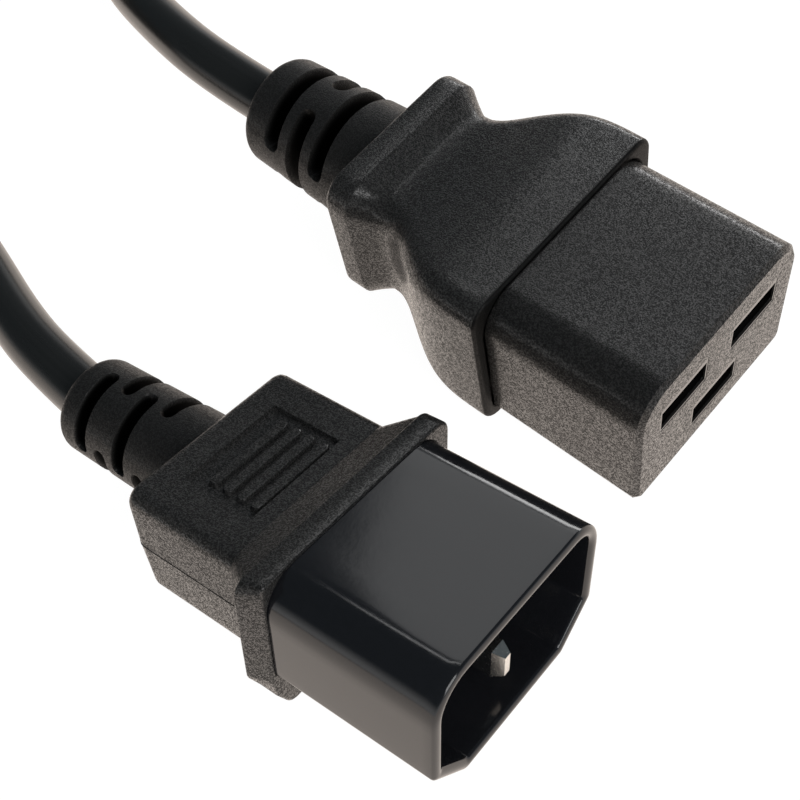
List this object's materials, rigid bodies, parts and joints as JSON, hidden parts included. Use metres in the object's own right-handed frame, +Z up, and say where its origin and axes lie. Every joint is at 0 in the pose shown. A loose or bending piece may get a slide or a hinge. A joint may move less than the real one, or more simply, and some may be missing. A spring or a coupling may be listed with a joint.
{
  "type": "c19 power connector",
  "caption": "Black power lead: a C19 connector with a stepped rectangular nose and flat slots, its free cord, and a shrouded C14 plug at the far end",
  "frame": {"origin": "on the surface that the lead lies on, under the middle of the C19 connector's own box", "axes": "+X out of the connector's mating face, along the cord's axis in it; +Z up; +Y to the side away from the plug"},
  "size_m": [0.2433, 0.0969, 0.0279],
  "materials": {
    "moulding": "fine spark-eroded grain, matte",
    "carrier": "fine grain, matte",
    "shroud": "smooth, glossy",
    "jacket": "smooth, semi-gloss",
    "pin": "bright nickel plate",
    "brass": "bright strip",
    "copper": "stranded copper end",
    "core_brown": "smooth",
    "core_blue": "smooth",
    "core_green": "smooth"
  },
  "bodies": {
    "root": {"conductor_earth": "copper", "conductor_line": "copper", "conductor_neutral": "copper", "connector_overmould": "moulding", "contact_carrier": "carrier", "contact_earth": "brass", "contact_line": "brass", "contact_neutral": "brass", "cord_coil": "jacket", "cord_connector_side": "jacket", "cord_plug_side": "jacket", "core_earth": "core_green", "core_line": "core_brown", "core_neutral": "core_blue", "jacket_connector_end": "jacket", "jacket_plug_end": "jacket", "plug_conductor_earth": "copper", "plug_conductor_line": "copper", "plug_conductor_neutral": "copper", "plug_core_earth": "core_green", "plug_core_line": "core_brown", "plug_core_neutral": "core_blue", "plug_overmould": "moulding", "plug_pin_earth": "pin", "plug_pin_line": "pin", "plug_pin_neutral": "pin", "plug_shroud": "shroud"}
  },
  "joints": []
}
